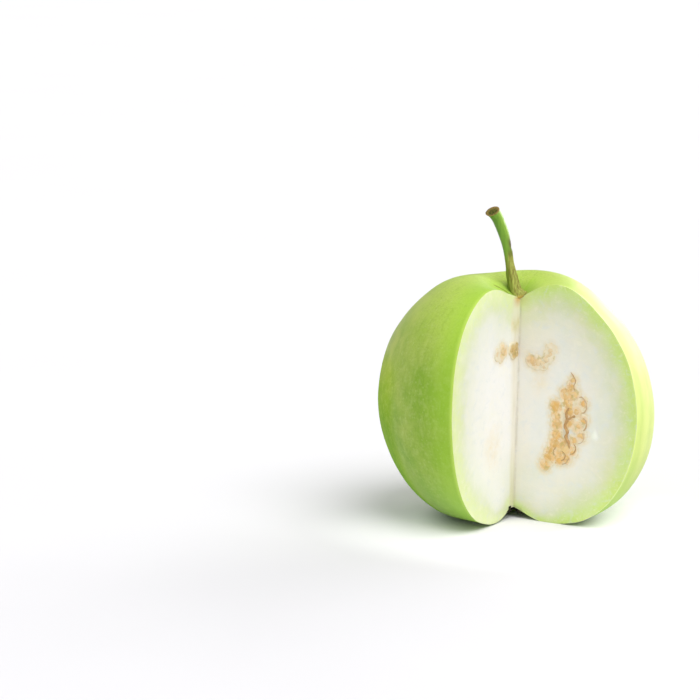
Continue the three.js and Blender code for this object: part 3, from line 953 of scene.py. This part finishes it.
def seed_cluster(name, node, places, face, rise, start, fibres, brown, pale, materials):
    """Seeds, threads and their bed of pulp, as one piece in the node's place."""
    pale_from, bed_pale, seed_pale = pale
    bed, faces, margin, ripe = pulp_bed(places, rise)
    tone = ripe * [held(0.9 + 0.8 * noise.noise(Vector(spot) / 2.0)) for spot in bed]
    bodies = [(bed, faces, PULP, bed_pale, tone, margin)]
    for body, faces, tone, margin in seed_bodies(places, rise, random.Random(start)):
        bodies.append((body, faces, SEED, seed_pale, tone, margin))
    for points, radius, tone in fibres:
        body, faces = fibre([(x, y, rise + z + THREAD_RISE) for x, y, z in points], radius)
        bodies.append((body, faces, THREAD, seed_pale, tone, 0.0))

    vertices, faces, kinds, tones, margins, browns = [], [], [], [], [], []
    total = 0
    for body, body_faces, kind, paling, tone, margin in bodies:
        faces += [tuple(i + total for i in f) for f in body_faces]
        kinds += [kind] * len(body_faces)
        total += len(body)
        vertices.append(off_face(face, body))
        tones.append(np.full(len(body), tone))
        margins.append(np.full(len(body), margin))
        browns.append(brown - paling * smooth_step(body[:, 0], pale_from, pale_from + 2.5))
    piece = new_mesh(name, standing(np.vstack(vertices)), faces, materials, kinds)
    paint(piece, "tone", np.concatenate(tones))
    paint(piece, "margin", np.concatenate(margins))
    paint(piece, "brown", np.concatenate(browns))
    fix_facing(piece)
    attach(piece, "root")
    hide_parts(node)


def stalk_side(height, thick, to_end, turn):
    """The stalk's radius at one spot of its side, and the marks its material reads there."""
    to_side, to_back = math.cos(turn), math.sin(turn)
    foot = held((ROUGH_FOOT_TOP - height) / 9.0)
    flare = bell(height, *STALK_FLARE)
    right_front = max(0.0, 0.8 * to_side - 0.6 * to_back)
    peeled = held((right_front - 0.2) * 2.6) * held((PEELED_STRIP_TOP - height) / 2.5)
    peeled = max(peeled, held((PEELED_FOOT_TOP - 2.0 * to_side - height) / 3.0))
    spot = Vector((to_side * 2.6, to_back * 2.6, height * 0.1))
    ridge = noise.noise(spot)
    fine = noise.noise(Vector((to_side * 7.0, to_back * 7.0, height * 0.22)))
    knot = bell(height, *STALK_KNOT) * max(0.0, 0.8 * to_side - 0.5 * to_back) ** 2
    radius = thick * (1 + 0.05 * ridge + (0.12 * fine + 0.08 * ridge) * foot)
    radius += 0.16 * peeled * fine
    radius += 0.2 * knot - 0.16 * bell(height, *STALK_NOTCH) * max(0.0, to_side) ** 4
    radius += 1.3 * flare * max(0.0, 0.94 * to_side - 0.34 * to_back) ** 4
    radius += 0.3 * flare * max(0.0, -to_side) ** 2
    radius += 0.22 * max(0.0, 1 - to_end / 1.2) * (1 + 0.6 * noise.noise(spot * 2.0))
    scar = min(1.0, 1.3 * bell(height, *STALK_SCAR) * max(0.0, to_side) ** 1.5)
    cut = held(1.3 - to_end / 0.5)
    return radius, (peeled, to_side, height, scar, min(1.0, 0.9 * knot), cut, cut)


def stalk_cap(last_ring, direction):
    """Ever smaller rings inside the last one, as the dished cut end, with their marks."""
    middle = np.mean(last_ring, axis=0)
    vertices, marks = [], []
    for k in range(1, STALK_CAP_RINGS):
        shrink = 1 - k / STALK_CAP_RINGS
        for corner in last_ring:
            point = middle + (corner - middle) * shrink
            dish = -0.5 * (1 - shrink**2) + 0.2 * noise.noise(Vector(point) * 1.6)
            vertices.append(point + direction * dish)
            marks.append((0.0, 0.0, STALK[-1][1], 0.0, 0.0, 1.0, max(0.0, 1.15 - 0.4 * k)))
    return vertices, marks


def stalk_piece():
    """The bent stalk, with its flared foot in the pit and its slanting, dished cut end."""
    line = evenly(smooth_line(STALK, 20), STALK_RINGS)
    centre = TO_RIGHT * line[:, :1] + TO_BACK * STALK_BACK + UP * line[:, 1:2]
    tangent = np.gradient(centre, axis=0)
    tangent /= np.linalg.norm(tangent, axis=1, keepdims=True)
    across = np.cross(TO_BACK, tangent)
    lengths = np.r_[0, np.cumsum(np.linalg.norm(np.diff(centre, axis=0), axis=1))]
    to_end = lengths[-1] - lengths
    vertices, marks = [], []
    for i, (_, height, thick) in enumerate(line):
        near_top = max(1 - to_end[i] / STALK_CUT_LENGTH, 0.0)
        for j in range(STALK_AROUND):
            turn = 2 * math.pi * j / STALK_AROUND
            radius, spot_marks = stalk_side(height, thick, to_end[i], turn)
            outward = across[i] * math.cos(turn) * radius + TO_BACK * math.sin(turn) * radius
            lower = STALK_CUT_SLANT * near_top * radius * (1 - math.sin(turn))
            vertices.append(centre[i] + outward - tangent[i] * lower - TO_RIGHT * 0.7 * near_top**2)
            marks.append(spot_marks)
    cap, cap_marks = stalk_cap(vertices[-STALK_AROUND:], tangent[-1])
    placed = standing(np.array(vertices + cap))
    faces = closed_tube_faces(STALK_RINGS + STALK_CAP_RINGS - 1, STALK_AROUND)
    piece = new_mesh("stalk_green", placed, faces, [stalk_material()])
    fix_facing(piece)
    for name, values in zip(STALK_MARKS, zip(*(marks + cap_marks))):
        paint(piece, name, values)
    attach(piece, "root")
    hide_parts("stalk")


def calyx_piece():
    """The dry ring under the fruit, with ragged lobes, open where the quarter is missing."""
    vertices = []
    for turn in np.linspace(*np.radians(CALYX_TURNS), CALYX_AROUND):
        outside, inside = [], []
        for down in np.linspace(0, 1, CALYX_RINGS):
            wave = math.cos(CALYX_LOBES * turn) + 0.3 * math.sin(3 * turn + 1)
            rough = noise.noise(Vector((math.cos(turn) * 3, math.sin(turn) * 3, down * 2)))
            height = CALYX_TOP + (CALYX_BOTTOM - CALYX_TOP) * down
            height = height - 0.35 * max(wave, -0.4) * down**2 - 0.15 * rough * down
            outer = CALYX_OUTER * (0.8 + 0.2 * down) + 0.3 * wave * down + 0.2 * rough
            inner = CALYX_INNER + 0.4 * down + 0.15 * rough
            outside.append((outer * math.cos(turn), outer * math.sin(turn), height))
            inside.append((inner * math.cos(turn), inner * math.sin(turn), height))
        vertices += outside + inside[::-1]
    faces = closed_tube_faces(CALYX_AROUND, 2 * CALYX_RINGS)
    piece = new_mesh("calyx_dry", standing(np.array(vertices)), faces, [calyx_material()])
    fix_facing(piece)
    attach(piece, "root")
    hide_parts("calyx")


def floor_piece():
    s = Shader("floor_white")
    soft = s.spread(s.noise(120.0, 2.0, 0.5), 0.3, 0.7)
    s.colour = s.mix(soft, (233, 232, 235), (235, 234, 237))
    # The table glows faintly in a ring just in front of the fruit: painted light that lifts the fruit's
    # shadow there
    away = s.node("VectorMath", "Value", {0: s.place}, operation="LENGTH")
    ring = s.times(s.spread(away, *GLOW_BEGINS), s.spread(away, *GLOW_FADES, 1.0, 0.0))
    forward = s.node("VectorMath", "Value", {0: s.place, 1: tuple(GLOW_SIDE)}, operation="DOT_PRODUCT")
    front = s.spread(forward, *GLOW_SIDE_RANGE)
    s.surface.inputs["Emission Color"].default_value = WHITE
    s.link(s.times(s.times(ring, front), GLOW_STRENGTH), s.surface.inputs["Emission Strength"])
    corners = [(TABLE_HALF * x, TABLE_HALF * y, 0) for x, y in ((-1, -1), (1, -1), (1, 1), (-1, 1))]
    piece = new_mesh("floor", corners, [(0, 1, 2, 3)], [s.finish(0.9, specular=0.1)], smooth=False)


def lights():
    for name, (right, back, up), strength, spread, colour in LIGHTS:
        light = bpy.data.lights.new(name, "SUN")
        light.energy = strength
        light.angle = math.radians(spread)
        light.color = colour
        lamp = bpy.data.objects.new(name, light)
        towards = Vector(TO_RIGHT * right + TO_BACK * back + UP * up)
        lamp.rotation_euler = towards.normalized().to_track_quat("Z", "Y").to_euler()
        bpy.context.scene.collection.objects.link(lamp)
    world = bpy.data.worlds.new("studio")
    world.use_nodes = True
    background = world.node_tree.nodes["Background"]
    background.inputs["Color"].default_value = WHITE
    background.inputs["Strength"].default_value = WORLD_STRENGTH
    bpy.context.scene.world = world


def camera():
    """Places the camera so that the fruit's middle falls on its pixel, with no roll and no shift."""
    elevation = math.radians(VIEW_ELEVATION)
    focal = PIXELS_PER_MM * VIEW_DISTANCE
    aim = TO_BACK * math.cos(elevation) - UP * math.sin(elevation)
    place = MIDDLE - VIEW_DISTANCE * aim
    centre = FRAME_PIXELS / 2
    off_x = (MIDDLE_PIXEL[0] - centre) / focal
    off_y = -(MIDDLE_PIXEL[1] - centre) / focal
    length = math.sqrt(off_x**2 + off_y**2 + 1)
    off_x, off_y, off_z = off_x / length, off_y / length, 1 / length
    pitch = math.asin(aim[2] / math.hypot(off_y, off_z)) - math.atan2(off_y, off_z)
    forward = off_z * math.cos(pitch) - off_y * math.sin(pitch)
    yaw = math.atan2(aim[0], aim[1]) - math.atan2(off_x, forward)
    look = Vector((math.sin(yaw) * math.cos(pitch), math.cos(yaw) * math.cos(pitch), math.sin(pitch)))
    across = Vector((math.cos(yaw), -math.sin(yaw), 0))
    above = across.cross(look)
    data = bpy.data.cameras.new("camera")
    data.sensor_width = SENSOR_MM
    data.lens = focal / FRAME_PIXELS * SENSOR_MM
    data.clip_start, data.clip_end = CLIP_METRES
    view = bpy.data.objects.new("camera", data)
    turn = Matrix((across, above, -look)).transposed().to_4x4()
    view.matrix_world = Matrix.Translation(Vector(place) * MM) @ turn
    bpy.context.scene.collection.objects.link(view)
    bpy.context.scene.camera = view


camera()
lights()
floor_piece()
fruit_piece()
stalk_piece()
calyx_piece()
seed_finish = [seed_material(), pulp_material(), fibre_material()]
for cluster in CLUSTERS:
    seed_cluster(*cluster, seed_finish)

scene = bpy.context.scene
scene.view_settings.view_transform = "Standard"
scene.view_settings.look = "None"
